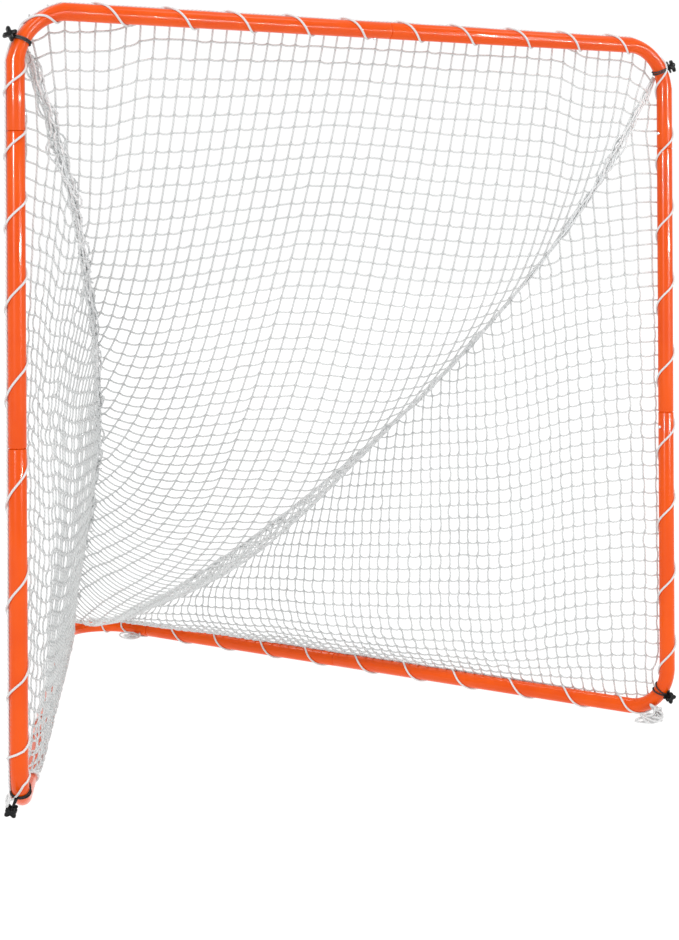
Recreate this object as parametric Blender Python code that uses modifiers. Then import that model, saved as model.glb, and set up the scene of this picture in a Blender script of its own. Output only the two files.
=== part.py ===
"""Knock-down backyard goal: a closed ring of steel tube with a laced three-panel net.

Frame: +Z up, the mouth faces -Y, the rear bend points to +Y. Metres.
"""

import math

import bmesh
import bpy
from mathutils import Matrix, Vector

# Driving dimensions
MOUTH_WIDTH = 1.830          # clear width between the posts
TUBE_R = 0.021               # outer radius of the frame tube
WALL = 0.0015                # tube wall
BEND_R = 0.116               # centreline radius of every bend
CORD_R = 0.0027              # radius of the white lacing cord
GAP = 0.0003                 # clearance kept between neighbours
TOP_Z = 1.862                # height of the crossbar's centreline
APEX_Y = 2.114               # where the two ground bars' centrelines would cross
UPPER_SEAM_Z = 1.583         # post joint near the top
LOWER_SEAM_Z = 0.854         # post joint near the middle
CROSSBAR_SEAM_X = 0.054      # crossbar joint, just right of the middle
BASE_SEAM_S = 1.150          # front joint of a ground bar, from the corner along the bar
REAR_SEAM_S = 1.943          # rear joint of a ground bar, from the corner along the bar
INSERT = 0.070               # how far a swaged end reaches into its neighbour
SWAGE_R = 0.01845            # outer radius of a swaged end
SWAGE_TAPER = 0.003          # length of the step from full to swaged size
PIN_SETBACK = 0.040          # snap button's centre from the seam
TUBE_SIDES = 12
BEND_STEPS = 6

BUTTON_R = 0.0043
BUTTON_HOLE_R = 0.0048
BUTTON_PROUD = 0.0045        # how far the button stands out of the tube
BUTTON_FOOT_R = 0.0150       # distance of the button's foot from the tube's axis
SPRING_T = 0.0006
SPRING_WIDTH = 0.008
SPRING_LENGTH = 0.045

LACE_STEPS = 9               # points for each turn of lacing
LACE_INSET = 0.015           # where the lacing stops short of a bend
POST_PITCH = 0.204
CROSSBAR_PITCH = 0.165
BASE_PITCH = 0.191
# Where the lacing crosses the front of each post, of the crossbar, and the
# inner side of each ground bar, measured from the corner.
POST_LACE_Z = {"left": 0.785, "right": 0.998}
CROSSBAR_LACE_X = -0.012
BASE_LACE_S = 0.843

ELASTIC_R = 0.0018
ELASTIC_PITCH = 0.0048
BEND_SLACK = 0.0010          # clearance of a straight loop round the curved tube
KNOB_R = 0.0140              # mean radius of the four-lobed knob
KNOB_LOBE = 0.0035           # how far its lobes swing in and out of the mean radius
KNOB_HALF_T = 0.0055
KNOB_CLEAR = 0.0025          # gap that the knotted cord under the knob fills
# Degrees: where a tie sits on its bend, from the post, and how far its knob is turned
# from the bend's outside, to the front at the top and to the goal's outer side below.
TIES = {
    ("top", "left"): (22.5, -10),
    ("top", "right"): (22.5, 60),
    ("bottom", "left"): (60, 24),
    ("bottom", "right"): (28, 35),
}

SHEET_T = 0.0015             # thickness of a net panel's closed sheet
SEAM_R = 0.010               # radius of the gathered fold between two panels
ROOF_SAG = 0.060             # how far the roof's rows hang below the folds
SIDE_BULGE = 0.030           # how far a side panel hangs inwards

HALF = MOUTH_WIDTH / 2 + TUBE_R
HELIX_R = (TUBE_R + GAP + CORD_R) / math.cos(math.pi / LACE_STEPS)
BASE_Z = HELIX_R + CORD_R                    # the ground bars ride on their lacing
BASE_LENGTH = math.hypot(HALF, APEX_Y)
APEX_HALF_ANGLE = math.atan2(HALF, APEX_Y)
REAR_TIP_Y = APEX_Y - BEND_R / math.sin(APEX_HALF_ANGLE) + BEND_R
FRONT_TURN = math.radians(TIES["top", "right"][1])
KNOB_TOP = TUBE_R + 2 * ELASTIC_R + 2 * KNOB_HALF_T + KNOB_CLEAR
FRONT_REACH = KNOB_TOP * math.sin(FRONT_TURN) + (KNOB_R + KNOB_LOBE) * math.cos(FRONT_TURN)
MIDDLE_Y = (REAR_TIP_Y + TUBE_R - FRONT_REACH) / 2
SIDES = {"left": -1.0, "right": 1.0}

UP = Vector((0, 0, 1))
FRONT = Vector((0, -1, 0))


def clear_scene():
    for old in list(bpy.data.objects):
        bpy.data.objects.remove(old, do_unlink=True)


def new_collection(name):
    group = bpy.data.collections.new(name)
    bpy.context.scene.collection.children.link(group)
    return group


def new_material(name, colour, roughness, metallic=0.0):
    material = bpy.data.materials.new(name)
    material.use_nodes = True
    shader = material.node_tree.nodes["Principled BSDF"]
    shader.inputs["Base Color"].default_value = (*colour, 1)
    shader.inputs["Roughness"].default_value = roughness
    shader.inputs["Metallic"].default_value = metallic
    return material


def add_object(name, data, group, material=None):
    piece = bpy.data.objects.new(name, data)
    group.objects.link(piece)
    if material:
        data.materials.append(material)
    return piece


def place_piece(piece):
    """Hangs a piece on the empty that centres the whole goal."""
    piece.parent = centre
    return piece


def new_curve(name, points, bevel, resolution=1, caps=True, radii=None, cyclic=False):
    curve = bpy.data.curves.new(name, "CURVE")
    curve.dimensions = "3D"
    curve.bevel_depth = bevel
    curve.bevel_resolution = resolution
    curve.use_fill_caps = caps
    line = curve.splines.new("POLY")
    line.points.add(len(points) - 1)
    line.use_cyclic_u = cyclic
    for i, (spot, point) in enumerate(zip(line.points, points)):
        spot.co = (*point, 1)
        spot.radius = radii[i] if radii else 1.0
    return curve


def cord(name, points, radius, material, resolution=1):
    """A solid round cord along the points."""
    curve = new_curve(name, points, radius, resolution)
    return place_piece(add_object(name, curve, parts, material))


def mesh_of(curve, name):
    """The curve's surface as a mesh of its own, with coincident points welded."""
    guide = bpy.data.objects.new(name + "_guide", curve)
    cutters.objects.link(guide)
    bpy.context.view_layer.update()
    evaluated = guide.evaluated_get(bpy.context.evaluated_depsgraph_get())
    mesh = bpy.data.meshes.new_from_object(evaluated)
    mesh.name = name
    surface = bmesh.new()
    surface.from_mesh(mesh)
    bmesh.ops.remove_doubles(surface, verts=surface.verts, dist=1e-6)
    surface.to_mesh(mesh)
    surface.free()
    bpy.data.objects.remove(guide, do_unlink=True)
    bpy.data.curves.remove(curve)
    return mesh


def rounded(start, corner, end):
    """Points from start to end with a bend of the standard radius at the corner."""
    back = (start - corner).normalized()
    ahead = (end - corner).normalized()
    half = back.angle(ahead) / 2
    tangent = BEND_R / math.tan(half)
    hub = corner + (back + ahead).normalized() * (BEND_R / math.sin(half))
    first = corner + back * tangent - hub
    axis = back.cross(ahead).normalized()
    turn = -(math.pi - 2 * half)
    arc = [
        hub + Matrix.Rotation(turn * i / BEND_STEPS, 3, axis) @ first
        for i in range(BEND_STEPS + 1)
    ]
    return [start, *arc, end]


def swaged(points):
    """Adds a swaged end beyond the last point; gives the points and their radii."""
    seam = points[-1]
    ahead = (seam - points[-2]).normalized()
    small = SWAGE_R / TUBE_R
    body = [*points[:-1], seam - ahead * (SWAGE_TAPER + GAP)]
    tip = [seam - ahead * GAP, seam + ahead * INSERT]
    return body + tip, [1.0] * len(body) + [small] * 2


def tube_piece(name, points, swage_start=False, swage_end=False, holes=()):
    """One hollow tube of the ring, with its swaged ends and its button holes."""
    radii = [1.0] * len(points)
    if swage_end:
        points, radii = swaged(points)
    if swage_start:
        flipped, shrunk = swaged(points[::-1])
        radii = shrunk[len(flipped) - 3:][::-1] + radii[1:]
        points = flipped[::-1]
    curve = new_curve(name, points, TUBE_R, caps=False, radii=radii)
    curve.bevel_resolution = TUBE_SIDES // 2 - 2
    piece = place_piece(add_object(name, mesh_of(curve, name), parts, frame_coat))
    wall = piece.modifiers.new("wall", "SOLIDIFY")
    wall.thickness = WALL
    wall.offset = -1
    wall.use_even_offset = True
    for hole in holes:
        cut = piece.modifiers.new("button_hole", "BOOLEAN")
        cut.operation = "DIFFERENCE"
        cut.solver = "EXACT"
        cut.object = hole
    return piece


def hole_cutter(name, spot, outward):
    """A cylinder through one side of both tube walls at a snap button."""
    mesh = bpy.data.meshes.new(name)
    shape = bmesh.new()
    bmesh.ops.create_cone(
        shape, cap_ends=True, segments=12, depth=0.014,
        radius1=BUTTON_HOLE_R, radius2=BUTTON_HOLE_R,
    )
    shape.to_mesh(mesh)
    shape.free()
    cutter = place_piece(add_object(name, mesh, cutters))
    cutter.location = spot + outward * (TUBE_R - 0.002)
    cutter.rotation_mode = "QUATERNION"
    cutter.rotation_quaternion = outward.to_track_quat("Z", "Y")
    cutter.hide_render = True
    cutter.display_type = "WIRE"
    return cutter


def snap_button(name, spot, outward):
    """A domed steel button, turned about the axis it travels on."""
    top = TUBE_R + BUTTON_PROUD - BUTTON_FOOT_R
    profile = [
        (0.0001, top),
        (0.0022, top - 0.0003),
        (0.0036, top - 0.0012),
        (BUTTON_R, top - 0.0028),
        (BUTTON_R, 0.0),
        (0.0001, 0.0),
    ]
    mesh = bpy.data.meshes.new(name)
    mesh.from_pydata(
        [(x, 0, z) for x, z in profile], [(i, i + 1) for i in range(len(profile) - 1)], []
    )
    button = place_piece(add_object(name, mesh, parts, button_zinc))
    turn = button.modifiers.new("turn", "SCREW")
    turn.steps = 12
    turn.render_steps = 12
    turn.use_merge_vertices = True
    turn.merge_threshold = 0.00001
    close = button.modifiers.new("close", "WELD")
    close.merge_threshold = 0.0001
    mesh.vertices[0].co.x = 0.0
    mesh.vertices[len(profile) - 1].co.x = 0.0
    button.location = spot + outward * BUTTON_FOOT_R
    button.rotation_mode = "QUATERNION"
    button.rotation_quaternion = outward.to_track_quat("Z", "Y")
    return button


def button_spring(name, spot, outward, inwards_along):
    """A bent leaf inside the swaged end: one leg under the button, one on the far wall."""
    reach = BUTTON_FOOT_R - GAP - SPRING_T
    far = -(SWAGE_R - WALL - 0.0020)
    profile = [
        (0.006, reach),
        (-0.006, reach),
        (-SPRING_LENGTH * 0.75, reach * 0.35),
        (-SPRING_LENGTH, 0.0),
        (-SPRING_LENGTH - 0.001, -0.003),
        (-SPRING_LENGTH * 0.9, -0.006),
        (-SPRING_LENGTH * 0.6, far * 0.75),
        (0.004, far),
    ]
    curve = bpy.data.curves.new(name, "CURVE")
    curve.dimensions = "3D"
    curve.extrude = SPRING_WIDTH / 2
    line = curve.splines.new("POLY")
    line.points.add(len(profile) - 1)
    for dot, (x, y) in zip(line.points, profile):
        dot.co = (x, y, 0, 1)
    leaf = place_piece(add_object(name, mesh_of(curve, name), parts, button_zinc))
    leaf.location = spot
    leaf.rotation_mode = "QUATERNION"
    along = -inwards_along
    leaf.rotation_quaternion = Matrix(
        (along, outward, along.cross(outward))
    ).transposed().to_quaternion()
    sheet = leaf.modifiers.new("leaf", "SOLIDIFY")
    sheet.thickness = SPRING_T
    sheet.offset = 0
    return leaf


def lacing_points(start, end, pitch, crossing):
    """A helix of cord round a straight tube; it crosses the front at that length."""
    axis = (end - start).normalized()
    side = axis.cross(FRONT).normalized()
    front = side.cross(axis).normalized()
    length = (end - start).length
    count = round(length / pitch * LACE_STEPS)
    points = []
    for i in range(count + 1):
        run = length * i / count
        angle = 2 * math.pi * (run - crossing) / pitch
        ring = front * math.cos(angle) + side * math.sin(angle)
        points.append(start + axis * run + ring * HELIX_R)
    return points


def fold_point(t, hand):
    """The curve on which the roof meets one side panel, from the top corner to the rear."""
    ends = (Vector((0.925, 0.060, 1.790)), Vector((0.569, 0.040, 0.960)))
    rear = (Vector((0.140, 1.780, 0.080)), Vector((0.045, 1.840, 0.100)))
    spot = (
        ends[0] * (1 - t) ** 3
        + ends[1] * (3 * (1 - t) ** 2 * t)
        + rear[0] * (3 * (1 - t) * t ** 2)
        + rear[1] * t ** 3
    )
    return Vector((spot.x * hand, spot.y, spot.z))


def grid_sheet(name, rows, material, flip):
    """A closed thin sheet through a grid of points."""
    mesh = bpy.data.meshes.new(name)
    shape = bmesh.new()
    grid = [[shape.verts.new(point) for point in row] for row in rows]
    for low, high in zip(grid, grid[1:]):
        for a, b, c, d in zip(low, low[1:], high[1:], high):
            shape.faces.new((a, d, c, b) if flip else (a, b, c, d))
    shape.to_mesh(mesh)
    shape.free()
    piece = place_piece(add_object(name, mesh, parts, material))
    body = piece.modifiers.new("thickness", "SOLIDIFY")
    body.thickness = SHEET_T
    body.offset = 0
    return piece


def roof_rows(rows=12, columns=8):
    """Rows parallel to the crossbar, each sagging between the two folds."""
    grid = []
    for i in range(rows + 1):
        t = i / rows
        left = fold_point(t, -1)
        right = fold_point(t, 1)
        inset = 2 * SEAM_R + SHEET_T
        width = right.x - left.x - 2 * inset
        row = []
        for j in range(columns + 1):
            u = j / columns
            drop = ROOF_SAG * math.sin(math.pi * u) * math.sin(math.pi * min(1, 1.1 * t + 0.05))
            lift = (TOP_Z - right.z) * (1 - t) ** 12 * (1 - (2 * u - 1) ** 8)
            x = left.x + inset + width * u
            row.append(Vector((x, left.y, left.z - drop + lift)))
        grid.append(row)
    return grid


def bend_clearance(s, clear):
    """Height above a ground bar's centreline that clears the bar and its front bend."""
    if s > BEND_R:
        return clear
    inner = BEND_R - clear
    return BEND_R - math.sqrt(max(0.0, inner ** 2 - (BEND_R - s) ** 2))


def side_rows(hand, rows=7, columns=10):
    """Rows from the ground bar up to the fold; columns stand along the bar."""
    grid = []
    clear = TUBE_R + 0.014
    for j in range(rows + 1):
        v = j / rows
        row = []
        for i in range(columns + 1):
            t = i / columns
            fold = fold_point(t, hand)
            s = 0.05 + (BASE_LENGTH - 0.05 - 0.30) * t
            low = base_point(hand, s) + UP * bend_clearance(s, clear)
            out = Vector((hand * APEX_Y, HALF, 0)).normalized()
            top = fold + out * 0.004 - UP * (SEAM_R + 0.012)
            top.z = max(top.z, low.z + 0.004)
            bulge = SIDE_BULGE * math.sin(math.pi * v) * math.sin(math.pi * t)
            row.append(low.lerp(top, v) - out * bulge)
        grid.append(row)
    return grid


def elastic_loop(name, hub, axis, outward):
    """Two turns of elastic cord round the tube, where a knob holds it."""
    across = axis.cross(outward).normalized()
    steps = 12
    radius = (TUBE_R + BEND_SLACK + ELASTIC_R) / math.cos(math.pi / steps)
    turns = 2
    points = []
    for i in range(turns * steps + 1):
        angle = 2 * math.pi * i / steps
        ring = outward * math.cos(angle) + across * math.sin(angle)
        along = ELASTIC_PITCH * (i / steps - turns / 2)
        points.append(hub + ring * radius + axis * along)
    return cord(name, points, ELASTIC_R, elastic_black)


def toggle_knob(name, spot, outward):
    """A four-lobed moulded knob, flat against the tube."""
    curve = bpy.data.curves.new(name, "CURVE")
    curve.dimensions = "2D"
    curve.fill_mode = "BOTH"
    curve.extrude = KNOB_HALF_T
    line = curve.splines.new("POLY")
    steps = 24
    line.points.add(steps - 1)
    line.use_cyclic_u = True
    for i, dot in enumerate(line.points):
        angle = 2 * math.pi * i / steps
        radius = KNOB_R + KNOB_LOBE * math.cos(4 * angle)
        dot.co = (radius * math.cos(angle), radius * math.sin(angle), 0, 1)
    knob = place_piece(add_object(name, curve, parts, knob_black))
    knob.location = spot
    knob.rotation_mode = "QUATERNION"
    knob.rotation_quaternion = outward.to_track_quat("Z", "Y")
    return knob


def base_point(hand, s):
    """A point on a ground bar's centreline, s metres from the mouth's corner."""
    share = s / BASE_LENGTH
    return Vector((hand * HALF * (1 - share), APEX_Y * share, BASE_Z))


def seams():
    """Every joint of the ring: name, seam point, way into the outer tube, button side."""
    found = []
    inward = Vector((-1, 0, 0))
    for side, hand in SIDES.items():
        inner = inward * hand
        along = (base_point(hand, 1) - base_point(hand, 0)).normalized()
        outer = Vector((hand * APEX_Y, HALF, 0)).normalized()
        post = Vector((hand * HALF, 0, 0))
        found.append((f"post_upper_{side}", post + UP * UPPER_SEAM_Z, UP, inner))
        found.append((f"post_lower_{side}", post + UP * LOWER_SEAM_Z, -UP, inner))
        found.append((f"base_front_{side}", base_point(hand, BASE_SEAM_S), -along, outer))
        found.append((f"base_rear_{side}", base_point(hand, REAR_SEAM_S), along, outer))
    crossbar = Vector((CROSSBAR_SEAM_X, 0, TOP_Z))
    found.append(("crossbar", crossbar, Vector((-1, 0, 0)), -UP))
    return found


def build_ring(holes):
    """The nine tubes of the frame."""
    seam_x = Vector((CROSSBAR_SEAM_X, 0, TOP_Z))
    for side, hand in SIDES.items():
        top_corner = Vector((hand * HALF, 0, TOP_Z))
        low_corner = Vector((hand * HALF, 0, BASE_Z))
        upper = Vector((hand * HALF, 0, UPPER_SEAM_Z))
        lower = Vector((hand * HALF, 0, LOWER_SEAM_Z))
        top_cuts = [holes[f"post_upper_{side}"], holes["crossbar"]]
        tube_piece(
            f"crossbar_corner_{side}", rounded(upper, top_corner, seam_x),
            swage_end=side == "right", holes=top_cuts,
        )
        tube_piece(
            f"post_tube_{side}", [lower, (lower + upper) / 2, upper], True, True,
            [holes[f"post_lower_{side}"], holes[f"post_upper_{side}"]],
        )
        tube_piece(
            f"base_corner_{side}",
            rounded(lower, low_corner, base_point(hand, BASE_SEAM_S)),
            holes=[holes[f"post_lower_{side}"], holes[f"base_front_{side}"]],
        )
        ends = [base_point(hand, BASE_SEAM_S), base_point(hand, REAR_SEAM_S)]
        tube_piece(
            f"base_tube_{side}", [ends[0], (ends[0] + ends[1]) / 2, ends[1]], True, True,
            [holes[f"base_front_{side}"], holes[f"base_rear_{side}"]],
        )
    tube_piece(
        "rear_bend_tube",
        rounded(base_point(-1, REAR_SEAM_S), Vector((0, APEX_Y, BASE_Z)),
                base_point(1, REAR_SEAM_S)),
        holes=[holes["base_rear_left"], holes["base_rear_right"]],
    )


def build_buttons():
    """Snap buttons and their springs; gives the hole cutters by joint name."""
    holes = {}
    for name, seam, into, outward in seams():
        spot = seam + into * PIN_SETBACK
        holes[name] = hole_cutter(f"hole_{name}", spot, outward)
        snap_button(f"snap_button_{name}", spot, outward)
        button_spring(f"button_spring_{name}", spot, outward, into)
    return holes


def build_lacing():
    """White cord wound round each side of the ring."""
    reach = HALF - BEND_R - LACE_INSET
    bar = [Vector((x, 0, TOP_Z)) for x in (-reach, reach)]
    crossbar = lacing_points(*bar, CROSSBAR_PITCH, CROSSBAR_LACE_X + reach)
    cord("lacing_crossbar", crossbar, CORD_R, cord_white)
    for side, hand in SIDES.items():
        foot = Vector((hand * HALF, 0, BASE_Z + BEND_R + LACE_INSET + KNOB_R))
        head = Vector((hand * HALF, 0, TOP_Z - BEND_R - LACE_INSET))
        post = lacing_points(foot, head, POST_PITCH, POST_LACE_Z[side] - foot.z)
        cord(f"lacing_post_{side}", post, CORD_R, cord_white)
        near = BEND_R + LACE_INSET
        ends = [base_point(hand, near), base_point(hand, REAR_SEAM_S + 0.090)]
        base = lacing_points(*ends, BASE_PITCH, BASE_LACE_S - near)
        cord(f"lacing_base_{side}", base, CORD_R, cord_white)


def build_net():
    """The three net panels and the gathered folds between them."""
    grid_sheet("net_roof_panel", roof_rows(), net_white, flip=False)
    for side, hand in SIDES.items():
        grid_sheet(f"net_side_{side}", side_rows(hand), net_white, flip=hand < 0)
        steps = 14
        points = [fold_point(0.02 + 0.96 * i / steps, hand) for i in range(steps + 1)]
        cord(f"seam_cord_{side}", points, SEAM_R, cord_white)


def bend_spot(corner_z, down, along, angle):
    """Tube centre and outward radius at an angle round a mouth corner's bend."""
    reach = BEND_R * (1 - math.cos(angle))
    rise = BEND_R * (1 - math.sin(angle))
    spot = UP * (corner_z + down * rise) + along * reach
    outward = -along * math.cos(angle) - UP * (down * math.sin(angle))
    tangent = UP * (down * math.cos(angle)) - along * math.sin(angle)
    return spot, outward, tangent


def build_ties():
    """Elastic loops with moulded knobs on the four corners of the mouth."""
    for (level, side), degrees in TIES.items():
        angle, lean = (math.radians(d) for d in degrees)
        hand = SIDES[side]
        corner = Vector((hand * HALF, 0, 0))
        if level == "top":
            spot, radial, axis = bend_spot(TOP_Z, -1, Vector((-hand, 0, 0)), angle)
            lean_to = FRONT
        else:
            along = (base_point(hand, 1) - base_point(hand, 0)).normalized()
            spot, radial, axis = bend_spot(BASE_Z, 1, along, angle)
            lean_to = Vector((hand * APEX_Y, HALF, 0)).normalized()
        outward = (radial * math.cos(lean) + lean_to * math.sin(lean)).normalized()
        elastic_loop(f"elastic_loop_{level}_{side}", corner + spot, axis, outward)
        middle = corner + spot + outward * (KNOB_TOP - KNOB_HALF_T)
        toggle_knob(f"toggle_knob_{level}_{side}", middle, outward)


clear_scene()
parts = new_collection("backyard_goal")
cutters = new_collection("cutters")
frame_coat = new_material("orange_powder_coat", (1.0, 0.10, 0.008), 0.3)
button_zinc = new_material("button_zinc", (0.75, 0.76, 0.78), 0.3, 1.0)
cord_white = new_material("cord_white", (0.86, 0.87, 0.88), 0.85)
net_white = new_material("net_white", (0.88, 0.89, 0.90), 0.85)
elastic_black = new_material("elastic_black", (0.02, 0.02, 0.02), 0.8)
knob_black = new_material("knob_black", (0.015, 0.015, 0.016), 0.4)

centre = bpy.data.objects.new("goal_centre", None)
parts.objects.link(centre)
centre.location = (0, -MIDDLE_Y, 0)

button_holes = build_buttons()
build_ring(button_holes)
build_lacing()
build_net()
build_ties()
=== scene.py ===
"""Looks of the backyard goal: coated steel ring, knotted net, lacing, elastic ties and buttons."""

import math

import bmesh
import bpy
import numpy as np
from mathutils import Matrix, Vector


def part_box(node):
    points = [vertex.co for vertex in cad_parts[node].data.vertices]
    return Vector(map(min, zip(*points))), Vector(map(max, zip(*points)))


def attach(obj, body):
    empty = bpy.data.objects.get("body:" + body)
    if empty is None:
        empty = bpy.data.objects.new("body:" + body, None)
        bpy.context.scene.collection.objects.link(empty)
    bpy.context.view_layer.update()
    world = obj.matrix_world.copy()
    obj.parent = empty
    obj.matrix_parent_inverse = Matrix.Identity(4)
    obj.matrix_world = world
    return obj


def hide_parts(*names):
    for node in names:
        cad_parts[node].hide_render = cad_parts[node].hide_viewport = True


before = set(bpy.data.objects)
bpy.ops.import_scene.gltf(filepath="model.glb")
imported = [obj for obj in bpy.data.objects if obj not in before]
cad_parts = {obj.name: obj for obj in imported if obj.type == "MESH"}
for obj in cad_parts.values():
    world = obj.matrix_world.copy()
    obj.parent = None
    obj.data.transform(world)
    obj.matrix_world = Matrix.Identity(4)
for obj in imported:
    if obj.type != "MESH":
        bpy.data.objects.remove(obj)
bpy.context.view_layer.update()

ROOT = "goal"
SIDES = {"left": -1, "right": 1}
UP = Vector((0, 0, 1))
FRONT = Vector((0, -1, 0))

# ---------------------------------------------------------------- sizes read from the frame
post_low, post_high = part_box("post_tube_right")
TUBE_R = (post_high.x - post_low.x) / 2
HALF = (post_high.x + post_low.x) / 2
MOUTH_Y = (post_high.y + post_low.y) / 2
TOP_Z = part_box("crossbar_corner_left")[1].z - TUBE_R
BASE_Z = sum(c.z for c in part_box("base_tube_left")) / 2
UPPER_SEAM_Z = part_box("crossbar_corner_right")[0].z
LOWER_SEAM_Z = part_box("base_corner_right")[1].z
CROSSBAR_SEAM_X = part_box("crossbar_corner_left")[1].x

# ---------------------------------------------------------------- sizes the frame can't give
APEX_Y = 2.114 + MOUTH_Y     # where the two ground bars' centrelines would cross
BEND_R = 0.116
WALL = 0.0015
GAP = 0.0003
INSERT = 0.070
SWAGE_R = 0.01845
SWAGE_TAPER = 0.003
PIN_SETBACK = 0.040
BASE_SEAM_S = 1.150
REAR_SEAM_S = 1.943
BUTTON_R = 0.0043
BUTTON_HOLE_R = 0.0048
BUTTON_PROUD = 0.0045
BUTTON_FOOT_R = 0.0150
KNOB_R = 0.0125
KNOB_LOBE = 0.0048
KNOB_FLOOR = 0.0195          # lowest that a knob's middle may hang, clear of the ground
BASE_LENGTH = math.hypot(HALF, APEX_Y - MOUTH_Y)
REAR_CORNER = Vector((0, APEX_Y, BASE_Z))

TUBE_SIDES = 40
BEND_STEPS = 18

MESH = 0.0385                # side of one net mesh
HUNG = 0.0335                # the side panels' columns are gathered this close on a ground bar
TWINE_R = 0.0026
KNOT_R = 0.0041
CORD_R = 0.0027
BORDER_R = 0.0025
ELASTIC_R = 0.0021
BORDER_LIFT = 0.0035         # the net's border, from the tube's surface to the knots on it
BAR_GUIDE = np.array([0.31, 0.83, 0.46])     # a way that no strand of the net takes
FLATTEN = {"top": 0.36, "bottom": 0.16}      # how far a bend's outer side is pressed in
BEND_SHIFT = {("top", "left"): 0.005}        # bends that swing wider than the rest
ROOF_SAG = 0.10              # roof's dip, as a share of its length, times four
ROOF_FAN = 0.05              # how far the outer columns of the roof draw together
ROOF_SPREAD = {-1: 0.19, 1: 0.13}    # how much longer the roof's meshes are pulled toward the sides
ROOF_STEPS = 300
SIDE_STEPS = 6               # the side panels are laid as they hang, then eased a little
BELLY = 0.080                # how far a side's slack hangs inward, low down
LEFT_BELLY = 0.012
LEAN = 0.10                  # how far a side's columns lean forward at the top
SQUEEZE = 0.50               # how much closer its rows lie just over the ground bar
PLEAT = {-1: 0.003, 1: 0.008}
LACE_PITCH = 0.191           # metres of tube for each turn of the lacing, where it is even
POST_OFFSET = {-1: 0.016, 1: -0.012}         # where the rows start on the posts
SHORT_END = 0.45             # a column's last mesh may be this much shorter than the rest
BAR_SAG = 0.0035             # most that a slack strand hangs down between two knots


def base_point(hand, s):
    """A point on a ground bar's centreline, s metres from the mouth's corner."""
    share = s / BASE_LENGTH
    y = MOUTH_Y + (APEX_Y - MOUTH_Y) * share
    return Vector((hand * HALF * (1 - share), y, BASE_Z))


def bar_way(hand):
    return (base_point(hand, 1) - base_point(hand, 0)).normalized()


def bar_outer(hand):
    """The level direction away from the goal, square to a ground bar."""
    return Vector((hand * (APEX_Y - MOUTH_Y), HALF, 0)).normalized()


def rounded(start, corner, end, steps=BEND_STEPS):
    """Points from start to end with the standard bend at the corner."""
    back = (start - corner).normalized()
    ahead = (end - corner).normalized()
    half = back.angle(ahead) / 2
    hub = corner + (back + ahead).normalized() * (BEND_R / math.sin(half))
    first = corner + back * (BEND_R / math.tan(half)) - hub
    axis = back.cross(ahead).normalized()
    turn = -(math.pi - 2 * half)
    arc = [hub + Matrix.Rotation(turn * i / steps, 3, axis) @ first for i in range(steps + 1)]
    return [start, *arc, end]


def mouth_bends():
    """Each mouth corner's bend: name, hub, its two level or upright ways, tube squash."""
    for side, hand in SIDES.items():
        out, way = Vector((hand, 0, 0)), bar_way(hand)
        top = Vector((hand * (HALF - BEND_R), MOUTH_Y, TOP_Z - BEND_R))
        low = base_point(hand, BEND_R) + UP * BEND_R
        yield ("top", side), top, out, UP
        yield ("bottom", side), low, -way, -UP


BENDS = list(mouth_bends())


def bend_at(spot):
    """Way out from the bend's hub, share of squash and inward shift; none on a straight."""
    for (level, side), hub, out, rise in BENDS:
        arm = Vector(spot) - hub
        a, b = arm @ out, arm @ rise
        if a > 0 and b > 0 and abs(math.hypot(a, b) - BEND_R) < 0.03:
            share = (4 * a * b / (a * a + b * b) / 2) ** 0.8
            away = (out * a + rise * b).normalized()
            return away, FLATTEN[level] * share, BEND_SHIFT.get((level, side), 0) * share
    return Vector((0, 0, 0)), 0.0, 0.0


# ---------------------------------------------------------------- materials
def fill(tree, node, inputs):
    """Sets a node's inputs: a tuple is a colour, and a socket is linked."""
    for key, value in inputs.items():
        if isinstance(value, bpy.types.NodeSocket):
            tree.links.new(value, node.inputs[key])
        else:
            node.inputs[key].default_value = (*value, 1) if isinstance(value, tuple) else value


def new_node(tree, kind, inputs=None, **settings):
    node = tree.nodes.new("ShaderNode" + kind)
    for key, value in settings.items():
        setattr(node, key, value)
    fill(tree, node, inputs or {})
    return node


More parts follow.
